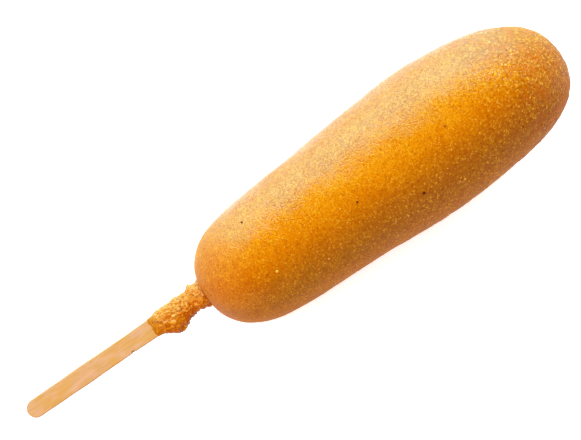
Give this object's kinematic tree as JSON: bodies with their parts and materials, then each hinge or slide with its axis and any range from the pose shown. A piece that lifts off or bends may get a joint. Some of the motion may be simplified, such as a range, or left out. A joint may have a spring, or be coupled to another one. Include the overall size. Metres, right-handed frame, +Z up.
{
  "type": "corn dog",
  "caption": "Hand-dipped corn dog: a fat rounded body of fried cornmeal batter, slimmer towards a crusty collar on its flat wooden stick, lying on its side.",
  "frame": {"origin": "middle of the footprint, on the table the dog lies on", "axes": "+X towards the rounded tip, away from the stick; +Y towards the side the stick is off centre to; +Z up"},
  "size_m": [0.2054, 0.0478, 0.0472],
  "materials": {
    "fried_batter": "fine-grained golden fried cornmeal batter with a faint oily sheen",
    "birch": "plain sanded birch, unvarnished"
  },
  "bodies": {
    "root": {"batter": "fried_batter", "stick": "birch"}
  },
  "joints": []
}
